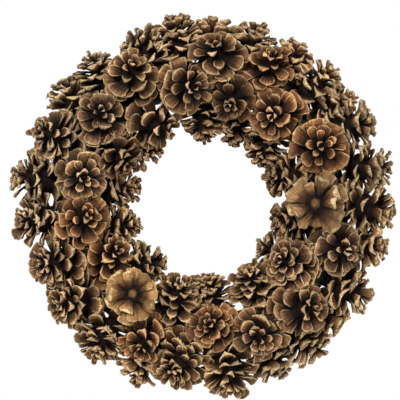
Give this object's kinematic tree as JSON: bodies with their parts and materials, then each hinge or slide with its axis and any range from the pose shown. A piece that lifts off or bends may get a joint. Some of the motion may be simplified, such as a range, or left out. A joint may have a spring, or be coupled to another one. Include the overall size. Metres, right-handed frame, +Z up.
{
  "type": "pine cone wreath",
  "caption": "Round door wreath of open pine cones glued all round a wrapped straw ring, hung from a wire loop behind its top.",
  "frame": {"origin": "inside top of the hanging loop's eye, where it rests on its nail or hook", "axes": "+Z up as it hangs, +Y from the wreath into the wall or door behind it, so its front faces -Y; +X to the right as seen from the front"},
  "size_m": [0.3831, 0.0909, 0.3788],
  "materials": {
    "cone_scales": "dry matt open cone scales, tan at the worn rims and dark brown inside",
    "ring_wrap": "dark green wrapping strip, faint sheen",
    "loop_wire": "dark green lacquered florist's wire"
  },
  "bodies": {
    "root": {"straw_ring": "ring_wrap", "hanging_loop": "loop_wire", "outer_cone_01": "cone_scales", "outer_cone_02": "cone_scales", "outer_cone_03": "cone_scales", "outer_cone_04": "cone_scales", "outer_cone_05": "cone_scales", "outer_cone_06": "cone_scales", "outer_cone_07": "cone_scales", "outer_cone_08": "cone_scales", "outer_cone_09": "cone_scales", "outer_cone_10": "cone_scales", "outer_cone_11": "cone_scales", "outer_cone_12": "cone_scales", "outer_cone_13": "cone_scales", "outer_cone_14": "cone_scales", "outer_cone_15": "cone_scales", "outer_cone_16": "cone_scales", "outer_cone_17": "cone_scales", "outer_cone_18": "cone_scales", "outer_cone_19": "cone_scales", "outer_cone_20": "cone_scales", "outer_cone_21": "cone_scales", "outer_cone_22": "cone_scales", "outer_cone_23": "cone_scales", "outer_cone_24": "cone_scales", "front_cone_01": "cone_scales", "front_cone_02": "cone_scales", "front_cone_03": "cone_scales", "front_cone_04": "cone_scales", "front_cone_05": "cone_scales", "front_cone_06": "cone_scales", "front_cone_07": "cone_scales", "front_cone_08": "cone_scales", "front_cone_09": "cone_scales", "front_cone_10": "cone_scales", "front_cone_11": "cone_scales", "front_cone_12": "cone_scales", "front_cone_13": "cone_scales", "front_cone_14": "cone_scales", "front_cone_15": "cone_scales", "front_cone_16": "cone_scales", "front_cone_17": "cone_scales", "front_cone_18": "cone_scales", "front_cone_19": "cone_scales", "front_cone_20": "cone_scales", "front_cone_21": "cone_scales", "inner_cone_01": "cone_scales", "inner_cone_02": "cone_scales", "inner_cone_03": "cone_scales", "inner_cone_04": "cone_scales", "inner_cone_05": "cone_scales", "inner_cone_06": "cone_scales", "inner_cone_07": "cone_scales", "inner_cone_08": "cone_scales", "inner_cone_09": "cone_scales", "inner_cone_10": "cone_scales", "inner_cone_11": "cone_scales", "inner_cone_12": "cone_scales", "inner_cone_13": "cone_scales"}
  },
  "joints": []
}
